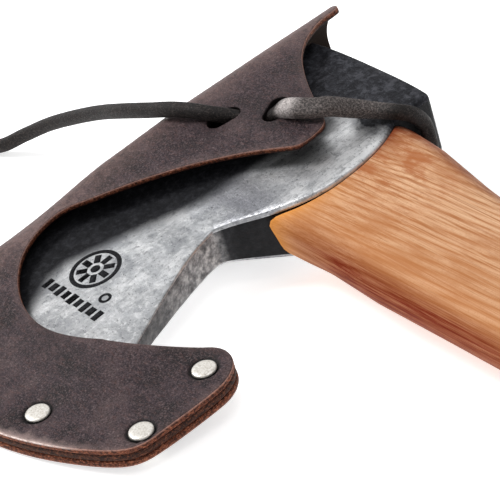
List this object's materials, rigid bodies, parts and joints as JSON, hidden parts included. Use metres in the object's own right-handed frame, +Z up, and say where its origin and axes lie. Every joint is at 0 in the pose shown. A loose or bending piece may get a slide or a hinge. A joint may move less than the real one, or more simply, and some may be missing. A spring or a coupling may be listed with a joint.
{
  "type": "carving hatchet",
  "caption": "Carving hatchet with a curved handle, lying in a folded leather blade sheath that is riveted along its edge and closed by a thong around the neck.",
  "frame": {"origin": "centre of the object's box on the surface it lies on, measured without the thong", "axes": "+X along the handle towards its knob, +Y across the head towards the poll, +Z up from the surface it lies on"},
  "size_m": [0.4705, 0.1851, 0.0432],
  "materials": {
    "head_steel": "forged, with dark scale on the cheeks, poll and underside, bright ground bevel",
    "handle_wood": "oiled, satin",
    "wedge_wood": "end grain, dull",
    "wedge_steel": "dull",
    "sheath_leather": "dyed dark brown, matt, raw brown edges",
    "welt_leather": "raw edge",
    "rivet_nickel": "nickel plated, satin",
    "thong_leather": "waxed, dark"
  },
  "bodies": {
    "sheath": {"sheath_leather": "sheath_leather", "welt": "welt_leather", "rivet_heel": "rivet_nickel", "rivet_corner": "rivet_nickel", "rivet_edge_1": "rivet_nickel", "rivet_edge_2": "rivet_nickel", "rivet_toe": "rivet_nickel", "back_cap_heel": "rivet_nickel", "back_cap_corner": "rivet_nickel", "back_cap_edge_1": "rivet_nickel", "back_cap_edge_2": "rivet_nickel", "back_cap_toe": "rivet_nickel", "thong_tail": "thong_leather", "thong_back": "thong_leather", "thong_knot": "thong_leather"},
    "hatchet": {"head": "head_steel", "handle": "handle_wood", "eye_wedge": "wedge_wood", "steel_wedge": "wedge_steel", "thong_neck": "thong_leather"}
  },
  "joints": [
    {"name": "draw_out", "type": "slide", "parent": "sheath", "child": "hatchet", "axis": [0.0012, 0.9933, 0.1153], "range_m": [0, 0.17]}
  ]
}
